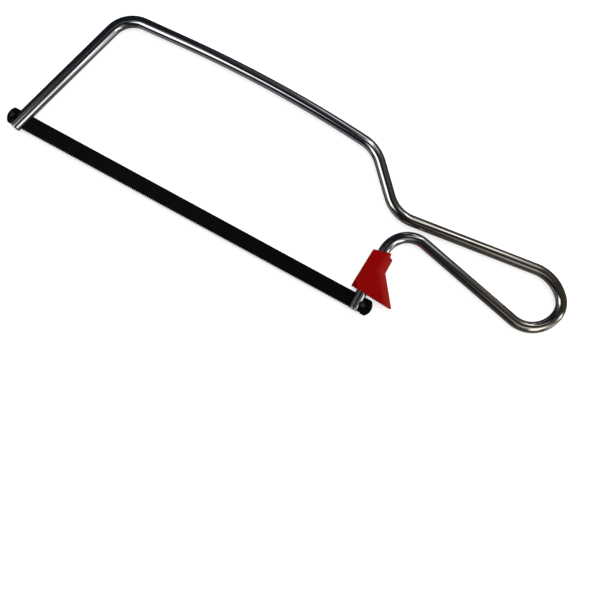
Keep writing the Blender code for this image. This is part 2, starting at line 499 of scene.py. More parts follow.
@dataclass(frozen=True)
class BlackenedStripFinish:
    """Blackened strip steel: a thin dark oxide, faintly green and mottled, rubbed grey on the tips."""

    oxide: str = "#020202"
    bloom: str = "#060707"
    bare: str = "#7A7974"
    roughness: float = 0.42
    mottle: float = 2.2
    # Rolling lines are finer than this on the real strip, and are coarser here so that they show.
    grain: float = 0.32
    rolled_length: float = 9.0
    grain_depth: float = 0.006
    grain_strength: float = 0.4
    # On the blade this is real wear: how far up from the tooth tips the steel is rubbed bare.
    rubbed_and_sheen: float = 0.24
    roughness_spread: float = 0.12
    specular: float = 0.08

    def make(self, tip_y: float) -> bpy.types.Material:
        """Builds the material.

        Args:
            tip_y: Where the tooth tips are, in metres along Y.

        Returns:
            The material.
        """
        material, tree, shader = new_material("blackened_strip_steel")
        place = add_node(tree, "ShaderNodeTexCoord").outputs["Object"]
        mottle = add_node(
            tree,
            "ShaderNodeTexNoise",
            inputs={"Vector": place, "Scale": 1 / (self.mottle * MM), "Detail": 5.0, "Roughness": 0.62},
        )
        across = 1 / (self.grain * MM)
        rolled = add_node(
            tree,
            "ShaderNodeMapping",
            inputs={"Vector": place, "Scale": (1 / (self.rolled_length * MM), across, across)},
        )
        grain = add_node(
            tree,
            "ShaderNodeTexNoise",
            inputs={"Vector": rolled.outputs["Vector"], "Scale": 1.0, "Detail": 3.0},
        )
        oxide = add_node(
            tree,
            "ShaderNodeMix",
            {"data_type": "RGBA"},
            {SHARE: mottle.outputs["Fac"], FIRST: srgb(self.oxide), SECOND: srgb(self.bloom)},
        )
        height = add_node(tree, "ShaderNodeSeparateXYZ", inputs={"Vector": place})
        near_tip = add_node(
            tree,
            "ShaderNodeMapRange",
            {"interpolation_type": "SMOOTHSTEP"},
            {
                "Value": height.outputs["Y"],
                "From Min": tip_y,
                "From Max": tip_y + self.rubbed_and_sheen * MM,
                "To Min": 1.0,
                "To Max": 0.0,
            },
        )
        rubbed_and_sheen = add_node(
            tree,
            "ShaderNodeMath",
            {"operation": "MULTIPLY"},
            {0: near_tip.outputs["Result"], 1: mottle.outputs["Fac"]},
        )
        colour = add_node(
            tree,
            "ShaderNodeMix",
            {"data_type": "RGBA"},
            {SHARE: rubbed_and_sheen.outputs[0], FIRST: oxide.outputs[MIXED], SECOND: srgb(self.bare)},
        )
        rough = add_node(
            tree,
            "ShaderNodeMapRange",
            inputs={
                "Value": grain.outputs["Fac"],
                "To Min": self.roughness - self.roughness_spread,
                "To Max": self.roughness + self.roughness_spread,
            },
        )
        relief = add_node(
            tree,
            "ShaderNodeBump",
            inputs={
                "Height": grain.outputs["Fac"],
                "Strength": self.grain_strength,
                "Distance": self.grain_depth * MM,
            },
        )
        tree.links.new(colour.outputs[MIXED], shader.inputs["Base Color"])
        tree.links.new(rough.outputs["Result"], shader.inputs["Roughness"])
        tree.links.new(relief.outputs["Normal"], shader.inputs["Normal"])
        shader.inputs["Specular IOR Level"].default_value = self.specular
        return material


@dataclass(frozen=True)
class TurnedPinFinish:
    """Turned mild-steel pin: the side is blackened with the blade, the end faces are bare and can rust."""

    face: str
    face_dark: str
    # Real turning marks are closer together. These are coarser, so that they show.
    ring: float = 0.3158
    ring_depth: float = 0.02
    ring_strength: float = 0.6
    rust: float = 0.7
    face_metallic: float = 0.6
    face_roughness: float = 0.48
    side: str = "#11110F"
    mottle: float = 0.9
    side_smooth: float = 0.5
    side_rough: float = 0.7
    side_specular: float = 0.12

    def make_face(self) -> bpy.types.Material:
        """Builds the end faces' material, with turning rings about the pin's own axis."""
        material, tree, shader = new_material("bare_turned_steel")
        place = add_node(tree, "ShaderNodeAttribute", {"attribute_name": "pin_axis"}).outputs["Vector"]
        rings = add_node(
            tree,
            "ShaderNodeTexWave",
            {"wave_type": "RINGS", "rings_direction": "Z"},
            {"Vector": place, "Scale": 2 * math.pi / (WAVE_TURN * self.ring * MM), "Distortion": 1.5},
        )
        rust = add_node(
            tree,
            "ShaderNodeTexNoise",
            inputs={"Vector": place, "Scale": 1 / (self.rust * MM), "Detail": 4.0},
        )
        colour = add_node(
            tree,
            "ShaderNodeMix",
            {"data_type": "RGBA"},
            {SHARE: rust.outputs["Fac"], FIRST: srgb(self.face), SECOND: srgb(self.face_dark)},
        )
        relief = add_node(
            tree,
            "ShaderNodeBump",
            inputs={
                "Height": rings.outputs["Fac"],
                "Strength": self.ring_strength,
                "Distance": self.ring_depth * MM,
            },
        )
        tree.links.new(colour.outputs[MIXED], shader.inputs["Base Color"])
        tree.links.new(relief.outputs["Normal"], shader.inputs["Normal"])
        shader.inputs["Metallic"].default_value = self.face_metallic
        shader.inputs["Roughness"].default_value = self.face_roughness
        return material

    def make_side(self) -> bpy.types.Material:
        """Builds the side's material."""
        material, tree, shader = new_material("blackened_pin_steel")
        place = add_node(tree, "ShaderNodeAttribute", {"attribute_name": "pin_axis"}).outputs["Vector"]
        mottle = add_node(
            tree,
            "ShaderNodeTexNoise",
            inputs={"Vector": place, "Scale": 1 / (self.mottle * MM), "Detail": 4.0},
        )
        rough = add_node(
            tree,
            "ShaderNodeMapRange",
            inputs={
                "Value": mottle.outputs["Fac"],
                "To Min": self.side_smooth,
                "To Max": self.side_rough,
            },
        )
        tree.links.new(rough.outputs["Result"], shader.inputs["Roughness"])
        shader.inputs["Base Color"].default_value = srgb(self.side)
        shader.inputs["Specular IOR Level"].default_value = self.side_specular
        return material


@dataclass(frozen=True)
class RedPlasticFinish:
    """Moulded polypropylene: dense red with a soft sheen and a fine mould texture, painted paler towards
    the fin as a sheen.
    """

    red: str = "#880101"
    # The paler red of a painted sheen on the fin's side, and how far before the waist it fades in.
    rubbed_and_sheen: str = "#9A2019"
    sheen_reach: float = 4.6
    roughness: float = 0.13
    roughness_spread: float = 0.04
    specular: float = 0.14
    flow: float = 6.0
    flow_share: float = 0.35
    texture: float = 0.32
    texture_depth: float = 0.012
    texture_strength: float = 0.45

    def make(self, waist: Vector, fin_tip: Vector) -> bpy.types.Material:
        """Builds the material.

        Args:
            waist: The corner between the block and the fin, on the side that the painted sheen makes paler.
            fin_tip: The far corner of the fin, on the same side.

        Returns:
            The material.
        """
        material, tree, shader = new_material("red_moulded_polypropylene")
        place = add_node(tree, "ShaderNodeTexCoord").outputs["Object"]
        flow = add_node(
            tree,
            "ShaderNodeTexNoise",
            inputs={"Vector": place, "Scale": 1 / (self.flow * MM), "Detail": 3.0, "Distortion": 0.6},
        )
        texture = add_node(
            tree,
            "ShaderNodeTexNoise",
            inputs={"Vector": place, "Scale": 1 / (self.texture * MM), "Detail": 3.0},
        )
        # A painted sheen: the red turns paler over the last few millimetres before the waist and on across
        # the fin, where light falls, mixed with real random flow tone.
        spot = add_node(tree, "ShaderNodeSeparateXYZ", inputs={"Vector": place})
        below = add_node(
            tree, "ShaderNodeMath", {"operation": "SUBTRACT"}, {0: waist.y, 1: spot.outputs["Y"]}
        )
        on_fin = add_node(tree, "ShaderNodeMath", {"operation": "MAXIMUM"}, {0: below.outputs[0], 1: 0.0})
        slant = (fin_tip.x - waist.x) / (fin_tip.y - waist.y)
        across = add_node(
            tree,
            "ShaderNodeMath",
            {"operation": "MULTIPLY_ADD"},
            {0: on_fin.outputs[0], 1: slant, 2: spot.outputs["X"]},
        )
        painted_sheen = add_node(
            tree,
            "ShaderNodeMapRange",
            {"interpolation_type": "SMOOTHSTEP"},
            {
                "Value": across.outputs[0],
                "From Min": waist.x - self.sheen_reach * MM,
                "From Max": waist.x,
                "To Min": -self.flow_share / 2,
                "To Max": 1.0 - self.flow_share / 2,
            },
        )
        flow_and_sheen = add_node(
            tree,
            "ShaderNodeMath",
            {"operation": "MULTIPLY_ADD", "use_clamp": True},
            {0: flow.outputs["Fac"], 1: self.flow_share, 2: painted_sheen.outputs["Result"]},
        )
        colour = add_node(
            tree,
            "ShaderNodeMix",
            {"data_type": "RGBA"},
            {SHARE: flow_and_sheen.outputs[0], FIRST: srgb(self.red), SECOND: srgb(self.rubbed_and_sheen)},
        )
        rough = add_node(
            tree,
            "ShaderNodeMapRange",
            inputs={
                "Value": texture.outputs["Fac"],
                "To Min": self.roughness - self.roughness_spread,
                "To Max": self.roughness + self.roughness_spread,
            },
        )
        relief = add_node(
            tree,
            "ShaderNodeBump",
            inputs={
                "Height": texture.outputs["Fac"],
                "Strength": self.texture_strength,
                "Distance": self.texture_depth * MM,
            },
        )
        tree.links.new(colour.outputs[MIXED], shader.inputs["Base Color"])
        tree.links.new(rough.outputs["Result"], shader.inputs["Roughness"])
        tree.links.new(relief.outputs["Normal"], shader.inputs["Normal"])
        shader.inputs["Specular IOR Level"].default_value = self.specular
        return material


@dataclass
class FrameRod:
    """The one-piece frame: a rod swept along its path, slotted at both ends for the blade."""

    diameter: float = 4.35
    front_diameter: float = 5.0
    taper_from: float = 50.0
    taper_to: float = 68.0
    path: tuple[Corner, ...] = (
        Corner(2.38, -3.75, 0.0),
        Corner(19.85, 53.25, 11.2),
        Corner(81.35, 57.85, 505.0),
        Corner(126.2, 54.4, 14.8),
        Corner(144.4, 35.85, 13.8),
        Corner(208.3, 44.1, 15.4),
        Corner(217.35, 35.1, 7.9),
        Corner(212.95, 19.75, 11.6),
        Corner(REAR_LEG, 34.05, 10.0),
        Corner(REAR_LEG, -3.2, 0.0),
    )
    sides: int = 56
    bend_steps: int = 30
    end_rounding: float = 0.55
    end_steps: int = 7
    end_support: float = 0.2
    cut_reach: float = 12.0
    slot_width: float = 1.0
    slot_depth: float = 8.0
    pin_diameter: float = PIN_DIAMETER
    pin_spacing: float = PIN_SPACING
    seat_gap: float = 0.15
    overcut: float = 2.0
    sharp_over: float = 30.0
    finish: PlatedRodFinish = field(default_factory=PlatedRodFinish)
    sawn: SawnSteelFinish = field(default_factory=SawnSteelFinish)

    def end_points(self, end: Corner, towards: Corner) -> list[tuple[Vector, float]]:
        """Points that round off one end of the rod.

        Args:
            end: The end of the path.
            towards: The next corner of the path.

        Returns:
            Each point in metres with the share of the diameter that the rod has there.
        """
        leg = Vector((towards.x - end.x, towards.y - end.y)).normalized()
        curve, radius = self.end_rounding, self.diameter / 2
        steps = []
        for index in range(self.end_steps + 1):
            angle = math.pi / 2 * index / self.end_steps
            steps.append((curve * (1 - math.cos(angle)), 1 - curve * (1 - math.sin(angle)) / radius))
        # The plain rings that follow keep the rounding's shading from running up the leg.
        steps += [(curve + self.end_support, 1.0), (self.cut_reach, 1.0)]
        return [(at(end.x + leg.x * inset, end.y + leg.y * inset), share) for inset, share in steps]

    def guide(self) -> bpy.types.Object:
        """The corners of the path as a chain of edges with the radius and scale of each."""
        points = [(place, share, 0.0) for place, share in self.end_points(self.path[0], self.path[1])]
        points += [(at(corner.x, corner.y), 1.0, corner.radius * MM) for corner in self.path[1:-1]]
        tail = [(place, share, 0.0) for place, share in self.end_points(self.path[-1], self.path[-2])]
        points += tail[::-1]
        mesh = bpy.data.meshes.new("plated_frame_rod")
        edges = [(index, index + 1) for index in range(len(points) - 1)]
        places, shares, radii = zip(*points)
        mesh.from_pydata(places, edges, [])
        for name, values in (("end_scale", shares), ("bend_radius", radii)):
            mesh.attributes.new(name, "FLOAT", "POINT").data.foreach_set("value", values)
        return link_object("plated_frame_rod", mesh)

    def sweep_tree(self) -> bpy.types.NodeTree:
        """The geometry tree that bends the chain into a path and sweeps the rod's section along it."""
        tree, start = geometry_tree(
            "swept_rod",
            {
                "Diameter": "NodeSocketFloat",
                "Front Diameter": "NodeSocketFloat",
                "Taper From": "NodeSocketFloat",
                "Taper To": "NodeSocketFloat",
                "Sides": "NodeSocketInt",
                "Bend Steps": "NodeSocketInt",
                "Weld": "NodeSocketFloat",
                "Finish": "NodeSocketMaterial",
            },
        )
        given = start.outputs
        kinds = {"bend_radius": "FLOAT", "end_scale": "FLOAT", "along": "FLOAT", "section": "FLOAT_VECTOR"}
        stored = {
            name: add_node(
                tree, "GeometryNodeInputNamedAttribute", {"data_type": kind}, {"Name": name}
            ).outputs["Attribute"]
            for name, kind in kinds.items()
        }
        chain = add_node(tree, "GeometryNodeMeshToCurve", inputs={"Mesh": given["Geometry"]})
        bent = add_node(
            tree,
            "GeometryNodeFilletCurve",
            {"mode": "POLY"},
            {
                "Curve": chain.outputs["Curve"],
                "Count": given["Bend Steps"],
                "Radius": stored["bend_radius"],
                "Limit Radius": True,
            },
        )
        spline = add_node(tree, "GeometryNodeSplineParameter")
        path = add_node(
            tree,
            "GeometryNodeStoreNamedAttribute",
            {"data_type": "FLOAT", "domain": "POINT"},
            {"Geometry": bent.outputs["Curve"], "Name": "along", "Value": spline.outputs["Length"]},
        )
        half = add_node(tree, "ShaderNodeMath", {"operation": "DIVIDE"}, {0: given["Diameter"], 1: 2.0})
        ring = add_node(
            tree,
            "GeometryNodeCurvePrimitiveCircle",
            inputs={"Resolution": given["Sides"], "Radius": half.outputs[0]},
        )
        place = add_node(tree, "GeometryNodeInputPosition")
        section = add_node(
            tree,
            "GeometryNodeStoreNamedAttribute",
            {"data_type": "FLOAT_VECTOR", "domain": "POINT"},
            {"Geometry": ring.outputs["Curve"], "Name": "section", "Value": place.outputs["Position"]},
        )
        front_share = add_node(
            tree,
            "ShaderNodeMath",
            {"operation": "DIVIDE"},
            {0: given["Front Diameter"], 1: given["Diameter"]},
        )
        taper = add_node(
            tree,
            "ShaderNodeMapRange",
            inputs={
                "Value": spline.outputs["Length"],
                "From Min": given["Taper From"],
                "From Max": given["Taper To"],
                "To Min": front_share.outputs[0],
                "To Max": 1.0,
            },
        )
        swell = add_node(
            tree,
            "ShaderNodeMath",
            {"operation": "MULTIPLY"},
            {0: stored["end_scale"], 1: taper.outputs["Result"]},
        )
        tube = add_node(
            tree,
            "GeometryNodeCurveToMesh",
            inputs={
                "Curve": path.outputs["Geometry"],
                "Profile Curve": section.outputs["Geometry"],
                "Scale": swell.outputs[0],
                "Fill Caps": True,
            },
        )
        welded = add_node(
            tree,
            "GeometryNodeMergeByDistance",
            inputs={"Geometry": tube.outputs["Mesh"], "Distance": given["Weld"]},
        )
        lengthwise = add_node(tree, "ShaderNodeCombineXYZ", inputs={"Z": stored["along"]})
        straight = add_node(
            tree,
            "ShaderNodeVectorMath",
            {"operation": "ADD"},
            {0: stored["section"], 1: lengthwise.outputs["Vector"]},
        )
        mapped = add_node(
            tree,
            "GeometryNodeStoreNamedAttribute",
            {"data_type": "FLOAT_VECTOR", "domain": "CORNER"},
            {"Geometry": welded.outputs["Geometry"], "Name": "straight_rod", "Value": straight.outputs[0]},
        )
        realized = add_node(
            tree, "GeometryNodeRealizeInstances", inputs={"Geometry": mapped.outputs["Geometry"]}
        )
        dressed = add_node(
            tree,
            "GeometryNodeSetMaterial",
            inputs={"Geometry": realized.outputs["Geometry"], "Material": given["Finish"]},
        )
        add_node(tree, "NodeGroupOutput", inputs={0: dressed.outputs["Geometry"]})
        return tree

    def slot_cutter(self, name: str, end: Corner, towards: Corner) -> bpy.types.Object:
        """Makes the box that saws one end's slot.

        Args:
            name: The cutter's name.
            end: The end of the path.
            towards: The next corner of the path.

        Returns:
            The cutter.
        """
        leg = Vector((towards.x - end.x, towards.y - end.y)).normalized()
        length = self.slot_depth + self.overcut
        reach = self.slot_depth - length / 2
        size = Vector((length, self.front_diameter + self.overcut, self.slot_width))
        middle = at(end.x + leg.x * reach, end.y + leg.y * reach)
        return box_cutter(name, middle, size, math.atan2(leg.y, leg.x))

    def cutters(self) -> list[bpy.types.Object]:
        """The slots, a round seat for each pin, and the way that the rear pin leaves its seat by."""
        front, rear = self.path[0], self.path[-1]
        width = self.front_diameter + self.overcut
        seat = self.pin_diameter + 2 * self.seat_gap
        low = rear.y - self.overcut
        way_out = box_cutter(
            "rear_way_out",
            at(self.pin_spacing + (self.overcut - seat) / 2, low / 2),
            Vector((self.overcut, -low, width)),
        )
        return [
            self.slot_cutter("front_slot", front, self.path[1]),
            self.slot_cutter("rear_slot", rear, self.path[-2]),
            round_cutter("front_seat", ORIGIN, seat, width, "Z"),
            round_cutter("rear_seat", at(self.pin_spacing, 0.0), seat, width, "Z"),
            way_out,
        ]

    def build(self) -> bpy.types.Object:
        """Builds and dresses the rod."""
        rod = self.guide()
        sizes = {
            "Diameter": self.diameter * MM,
            "Front Diameter": self.front_diameter * MM,
            "Taper From": self.taper_from * MM,
            "Taper To": self.taper_to * MM,
            "Sides": self.sides,
            "Bend Steps": self.bend_steps,
            "Weld": WELD,
            "Finish": self.finish.make(),
        }
        grow(rod, self.sweep_tree(), sizes)
        carve(rod, self.cutters(), self.sawn.make())
        shade(rod, self.sharp_over)
        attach(rod, Body.FRAME.value)
        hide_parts("frame_rod")
        return rod


@dataclass
class SawBlade:
    """The blade: one tooth repeated along a strip with a wavy set, between two rounded ends."""

    pin_spacing: float = PIN_SPACING
    back: float = 3.0
    tip: float = -3.35
    thickness: float = 0.65
    nose: float = 1.95
    tail: float = 3.75
    end_radius: float = 4.2
    end_steps: int = 22
    edge_break: float = 0.07
    pitch: float = INCH / 32
    teeth: int = 187
    teeth_from: float = 1.9
    # A little deeper than the solid's teeth, so that they show at the size of the picture.
    tooth_depth: float = 0.5
    tooth_land: float = 0.04
    gullet_shares: tuple[tuple[float, float], ...] = ((0.58, 0.86), (0.68, 1.0), (0.84, 1.0), (0.9, 0.9))
    set_line: float = -1.3
    set_reach: float = 0.13
    set_teeth: int = 11
    hole_diameter: float = 2.22
    hole_cut: float = 2.6
    sharp_over: float = 20.0
    finish: BlackenedStripFinish = field(default_factory=BlackenedStripFinish)

    def section(self, x: float, low: float) -> list[Vector]:
        """The ring of points round the strip at one place.

        Args:
            x: The place along the blade.
            low: How far down the strip reaches there.

        Returns:
            Points in metres, from the toothed edge's front over the back to its rear.
        """
        half, back, edge = self.thickness / 2, self.back, self.edge_break
        ring = (
            (low, half),
            (self.set_line, half),
            (back - edge, half),
            (back, half - edge),
            (back, edge - half),
            (back - edge, -half),
            (self.set_line, -half),
            (low, -half),
        )
        return [at(x, y, z) for y, z in ring]

    def tooth(self) -> bpy.types.Object:
        """One pitch of the strip, from tip to tip. The upright face looks away from the handle."""
        profile = [(0.0, self.tip), (self.tooth_land, self.tip)]
        profile += [(share, self.tip + depth * self.tooth_depth) for share, depth in self.gullet_shares]
        profile.append((1.0, self.tip))
        work = bmesh.new()
        skin(work, [self.section(self.teeth_from + share * self.pitch, low) for share, low in profile])
        return mesh_object("toothed_saw_blade", work)

    def strip_tree(self) -> bpy.types.NodeTree:
        """The geometry tree that repeats the tooth along the blade and gives the teeth their set."""
        tree, start = geometry_tree(
            "toothed_strip",
            {
                "Teeth": "NodeSocketInt",
                "Pitch": "NodeSocketFloat",
                "First Tip": "NodeSocketFloat",
                "Tip Line": "NodeSocketFloat",
                "Set Line": "NodeSocketFloat",
                "Set Reach": "NodeSocketFloat",
                "Set Wave": "NodeSocketFloat",
                "Weld": "NodeSocketFloat",
                "Finish": "NodeSocketMaterial",
            },
        )
        given = start.outputs
        step = add_node(tree, "ShaderNodeCombineXYZ", inputs={"X": given["Pitch"]})
        line = add_node(
            tree,
            "GeometryNodeMeshLine",
            {"mode": "OFFSET"},
            {"Count": given["Teeth"], "Offset": step.outputs["Vector"]},
        )
        copies = add_node(
            tree,
            "GeometryNodeInstanceOnPoints",
            inputs={"Points": line.outputs["Mesh"], "Instance": given["Geometry"]},
        )
        realized = add_node(
            tree, "GeometryNodeRealizeInstances", inputs={"Geometry": copies.outputs["Instances"]}
        )
        welded = add_node(
            tree,
            "GeometryNodeMergeByDistance",
            inputs={"Geometry": realized.outputs["Geometry"], "Distance": given["Weld"]},
        )
        place = add_node(tree, "GeometryNodeInputPosition")
        parts = add_node(tree, "ShaderNodeSeparateXYZ", inputs={"Vector": place.outputs["Position"]})
        from_tip = add_node(
            tree,
            "ShaderNodeMath",
            {"operation": "SUBTRACT"},
            {0: parts.outputs["X"], 1: given["First Tip"]},
        )
        waves = add_node(
            tree, "ShaderNodeMath", {"operation": "DIVIDE"}, {0: from_tip.outputs[0], 1: given["Set Wave"]}
        )
        turn = add_node(
            tree, "ShaderNodeMath", {"operation": "MULTIPLY"}, {0: waves.outputs[0], 1: 2 * math.pi}
        )
        wave = add_node(tree, "ShaderNodeMath", {"operation": "SINE"}, {0: turn.outputs[0]})
        lean = add_node(
            tree,
            "ShaderNodeMapRange",
            inputs={
                "Value": parts.outputs["Y"],
                "From Min": given["Set Line"],
                "From Max": given["Tip Line"],
                "To Min": 0.0,
                "To Max": given["Set Reach"],
            },
        )
        aside = add_node(
            tree,
            "ShaderNodeMath",
            {"operation": "MULTIPLY"},
            {0: wave.outputs[0], 1: lean.outputs["Result"]},
        )
        shift = add_node(tree, "ShaderNodeCombineXYZ", inputs={"Z": aside.outputs[0]})
        set_teeth = add_node(
            tree,
            "GeometryNodeSetPosition",
            inputs={"Geometry": welded.outputs["Geometry"], "Offset": shift.outputs["Vector"]},
        )
        dressed = add_node(
            tree,
            "GeometryNodeSetMaterial",
            inputs={"Geometry": set_teeth.outputs["Geometry"], "Material": given["Finish"]},
        )
        add_node(tree, "NodeGroupOutput", inputs={0: dressed.outputs["Geometry"]})
        return tree

    def end_outline(self, joint: float, extreme: float, inset: float) -> list[tuple[float, float]]:
        """The outline of one rounded end, from the back to the toothed edge.

        Args:
            joint: Where the end meets the toothed strip.
            extreme: How far the end reaches.
            inset: How far inside the true outline it runs, except at the toothed joint.

        Returns:
            Points in millimetres.
        """
        way = math.copysign(1.0, extreme - joint)
        half_width, radius = (self.back - self.tip) / 2, self.end_radius
        half_angle = math.asin((half_width - inset) / (radius - inset))
        middle = Vector((extreme - way * radius, (self.back + self.tip) / 2))
        points = [(joint, self.back - inset)]
        for index in range(self.end_steps + 1):
            angle = half_angle * (1 - 2 * index / self.end_steps)
            spoke = Vector((way * math.cos(angle), math.sin(angle)))
            points.append(tuple(middle + spoke * (radius - inset)))
        points.append((joint, self.tip))
        return points

    def add_end(self, work: bmesh.types.BMesh, joint: float, extreme: float) -> None:
        """Adds one rounded end, open where the toothed strip joins it.

        Args:
            work: The bmesh to add to.
            joint: Where the end meets the toothed strip.
            extreme: How far the end reaches.
        """
        half, edge = self.thickness / 2, self.edge_break
        flat = self.end_outline(joint, extreme, edge)
        full = self.end_outline(joint, extreme, 0.0)
        sides = [half] * len(full)
        breaks = [half - edge] * (len(full) - 1) + [half]
        rows = [
            [at(*point, z) for point, z in zip(flat, sides)],
            [at(*point, z) for point, z in zip(full, breaks)],
            [at(*point, -z) for point, z in zip(full, breaks)],
            [at(*point, -z) for point, z in zip(flat, sides)],
        ]
        made = skin(work, rows, closed=False)
        for row, z in ((made[0], half), (made[-1], -half)):
            work.faces.new((*row, work.verts.new(at(joint, self.set_line, z))))

    def build(self) -> bpy.types.Object:
        """Builds and dresses the blade."""
        blade = self.tooth()
        finish = self.finish.make(at(0.0, self.tip).y)
        sizes = {
            "Teeth": self.teeth,
            "Pitch": self.pitch * MM,
            "First Tip": at(self.teeth_from, 0.0).x,
            "Tip Line": at(0.0, self.tip).y,
            "Set Line": at(0.0, self.set_line).y,
            "Set Reach": self.set_reach * MM,
            "Set Wave": self.set_teeth * self.pitch * MM,
            "Weld": WELD,
            "Finish": finish,
        }
        grow(blade, self.strip_tree(), sizes)
        work = bmesh.new()
        work.from_mesh(blade.data)
        self.add_end(work, self.teeth_from, -self.nose)
        last_tip = self.teeth_from + self.teeth * self.pitch
        self.add_end(work, last_tip, self.pin_spacing + self.tail)
        bmesh.ops.remove_doubles(work, verts=work.verts, dist=WELD)
        bmesh.ops.dissolve_degenerate(work, dist=WELD, edges=work.edges)
        bmesh.ops.recalc_face_normals(work, faces=work.faces)
        work.to_mesh(blade.data)
        work.free()
        holes = [
            round_cutter(name, at(x, 0.0), self.hole_diameter, self.hole_cut, "Z")
            for name, x in (("front_hole", 0.0), ("rear_hole", self.pin_spacing))
        ]
        carve(blade, holes, finish)
        shade(blade, self.sharp_over)
        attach(blade, Body.BLADE.value)
        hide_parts("saw_blade")
        return blade


@dataclass
class BladePins:
    """The two cross pins, turned with a broken edge and a slightly domed face."""

    spacing: float = PIN_SPACING
    diameter: float = PIN_DIAMETER
    length: float = 5.0
    face_radius: float = 0.66
    dome: float = 0.07
    sides: int = 48
    # The broken edge: steps in from the side and then out from the face, each with its drop.
    side_steps: tuple[tuple[float, float], ...] = ((0.0, 0.30), (0.03, 0.16))
    face_steps: tuple[tuple[float, float], ...] = ((0.06, 0.01), (0.0, 0.0))
    # The dome's rings, as shares of the face's radius and of the dome's height below its top.
    dome_steps: tuple[tuple[float, float], ...] = ((0.62, 0.38), (0.25, 0.0))
    # How much of the dome's height is bare, inside the broken edge.
    bare_share: float = 0.9
    sharp_over: float = 40.0
    oiled: TurnedPinFinish = TurnedPinFinish(face="#3A3A31", face_dark="#191916")
    rusted: TurnedPinFinish = TurnedPinFinish(face="#5C4434", face_dark="#33241B")

    def profile(self) -> list[tuple[float, float]]:
        """Radius and height of each ring, from the lower face's middle to the upper one's."""
        radius, half = self.diameter / 2, self.length / 2
        shoulder = half - self.dome
        upper = [(radius - inset, shoulder - drop) for inset, drop in self.side_steps]
        upper += [(self.face_radius + reach, shoulder - drop) for reach, drop in self.face_steps]
        upper += [(self.face_radius * share, half - self.dome * drop) for share, drop in self.dome_steps]
        return [(r, -z) for r, z in reversed(upper)] + upper

    def build_one(self, node: str, x: float, finish: TurnedPinFinish) -> bpy.types.Object:
        """Builds and dresses one pin.

        Args:
            node: The solid that it replaces.
            x: Its place along the blade.
            finish: The finish of its side and its end faces.

        Returns:
            The pin.
        """
        rings = []
        for radius, height in self.profile():
            ring = []
            for index in range(self.sides):
                angle = 2 * math.pi * index / self.sides
                ring.append(at(x + radius * math.cos(angle), radius * math.sin(angle), height))
            rings.append(ring)
        pin = ringed_solid(node.replace("blade_pin", "turned_pin"), rings)
        pin.data.materials.append(finish.make_side())
        pin.data.materials.append(finish.make_face())
        bare = (self.length / 2 - self.dome * self.bare_share) * MM
        for polygon in pin.data.polygons:
            polygon.material_index = int(abs(polygon.center.z - ORIGIN.z) > bare)
        axis = pin.data.attributes.new("pin_axis", "FLOAT_VECTOR", "POINT")
        centre = at(x, 0.0)
        axis.data.foreach_set(
            "vector", [value for vertex in pin.data.vertices for value in vertex.co - centre]
        )
        shade(pin, self.sharp_over)
        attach(pin, Body.BLADE.value)
        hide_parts(node)
        return pin

    def build(self) -> list[bpy.types.Object]:
        """Builds and dresses both pins. The rear one, by the hand, has rusted."""
        front = self.build_one("front_blade_pin", 0.0, self.oiled)
        rear = self.build_one("rear_blade_pin", self.spacing, self.rusted)
        return [front, rear]


class Edge(NamedTuple):
    """How far the guard's rim is rounded along the edge that leaves a corner, across the face and down."""

    across: float
    down: float


